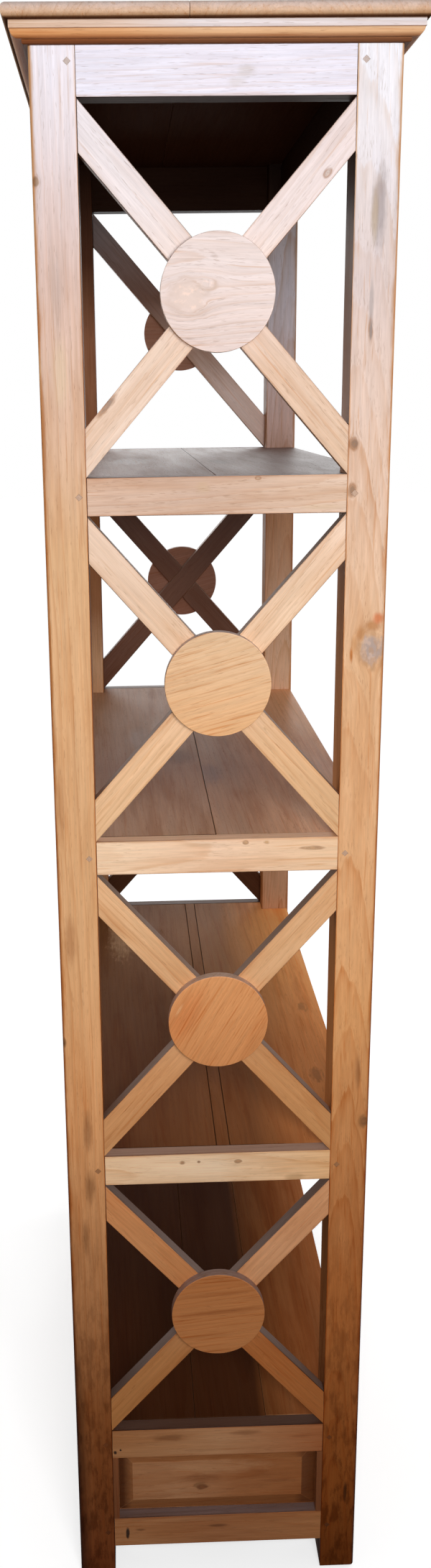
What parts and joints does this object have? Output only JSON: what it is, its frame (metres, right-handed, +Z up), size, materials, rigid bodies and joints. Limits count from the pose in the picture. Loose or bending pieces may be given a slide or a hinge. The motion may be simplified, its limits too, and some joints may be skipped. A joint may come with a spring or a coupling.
{
  "type": "bookcase",
  "caption": "Tall open free-standing wooden bookcase with crossed end braces under turned discs, a panelled plinth and a moulded top.",
  "frame": {"origin": "on the floor, in the middle of the bookcase's length and depth", "axes": "+Z up, X along the length with the pictured end at +X, Y through the depth"},
  "size_m": [0.891, 0.451, 2.068],
  "materials": {
    "post_wood": "worn satin oil and wax over open grain",
    "rail_wood": "worn satin oil and wax over open grain",
    "brace_wood": "worn satin oil and wax over open grain",
    "disc_wood": "worn satin oil and wax over open grain",
    "panel_wood": "worn satin oil and wax over open grain",
    "shelf_wood": "worn satin oil and wax over open grain",
    "top_wood": "worn satin oil and wax over open grain",
    "cornice_wood": "worn satin oil and wax over open grain",
    "peg_wood": "worn satin oil and wax over open grain"
  },
  "bodies": {
    "root": {"back_plinth_panel": "panel_wood", "back_top_board": "top_wood", "bottom_boards": "shelf_wood", "end_cornice_mouldings": "cornice_wood", "front_plinth_panel": "panel_wood", "front_top_board": "top_wood", "left_brace_1_rising_back": "brace_wood", "left_brace_1_rising_front": "brace_wood", "left_brace_2_rising_back": "brace_wood", "left_brace_2_rising_front": "brace_wood", "left_brace_3_rising_back": "brace_wood", "left_brace_3_rising_front": "brace_wood", "left_brace_4_rising_back": "brace_wood", "left_brace_4_rising_front": "brace_wood", "left_disc_1": "disc_wood", "left_disc_2": "disc_wood", "left_disc_3": "disc_wood", "left_disc_4": "disc_wood", "left_lower_plinth_rail": "rail_wood", "left_plinth_panel": "panel_wood", "left_shelf_1_rail": "rail_wood", "left_shelf_2_rail": "rail_wood", "left_shelf_3_rail": "rail_wood", "left_top_rail": "rail_wood", "left_upper_plinth_rail": "rail_wood", "long_cornice_mouldings": "cornice_wood", "long_lower_plinth_rails": "rail_wood", "long_shelf_1_rails": "rail_wood", "long_shelf_2_rails": "rail_wood", "long_shelf_3_rails": "rail_wood", "long_top_rails": "rail_wood", "long_upper_plinth_rails": "rail_wood", "panel_stops": "panel_wood", "pegs": "peg_wood", "post_back_left": "post_wood", "post_back_right": "post_wood", "post_front_left": "post_wood", "post_front_right": "post_wood", "right_brace_1_rising_back": "brace_wood", "right_brace_1_rising_front": "brace_wood", "right_brace_2_rising_back": "brace_wood", "right_brace_2_rising_front": "brace_wood", "right_brace_3_rising_back": "brace_wood", "right_brace_3_rising_front": "brace_wood", "right_brace_4_rising_back": "brace_wood", "right_brace_4_rising_front": "brace_wood", "right_disc_1": "disc_wood", "right_disc_2": "disc_wood", "right_disc_3": "disc_wood", "right_disc_4": "disc_wood", "right_lower_plinth_rail": "rail_wood", "right_plinth_panel": "panel_wood", "right_shelf_1_rail": "rail_wood", "right_shelf_2_rail": "rail_wood", "right_shelf_3_rail": "rail_wood", "right_top_rail": "rail_wood", "right_upper_plinth_rail": "rail_wood", "shelf_boards_1": "shelf_wood", "shelf_boards_2": "shelf_wood", "shelf_boards_3": "shelf_wood"}
  },
  "joints": []
}
